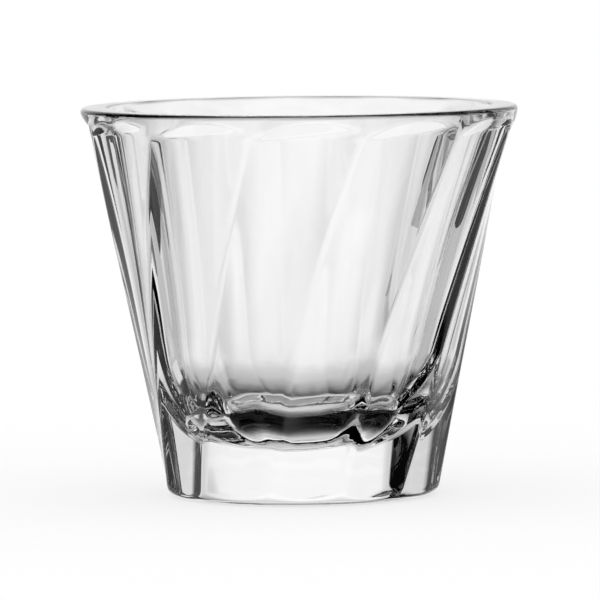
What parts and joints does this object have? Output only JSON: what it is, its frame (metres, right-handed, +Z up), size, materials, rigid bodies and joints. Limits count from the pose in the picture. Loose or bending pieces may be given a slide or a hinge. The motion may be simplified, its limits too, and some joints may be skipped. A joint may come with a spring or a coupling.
{
  "type": "cortado glass",
  "caption": "Clear pressed-glass coffee tumbler: flared, with flat facets twisting up the outside, a smooth round inside, a heavy base and a round polished rim.",
  "frame": {"origin": "middle of the flat ring that the glass stands on", "axes": "+Z up along the axis of the cup; -Y is the side that faces the viewer in the picture"},
  "size_m": [0.0748, 0.0748, 0.066],
  "materials": {
    "glass": "clear, fire polished"
  },
  "bodies": {
    "root": {"tumbler": "glass"}
  },
  "joints": []
}
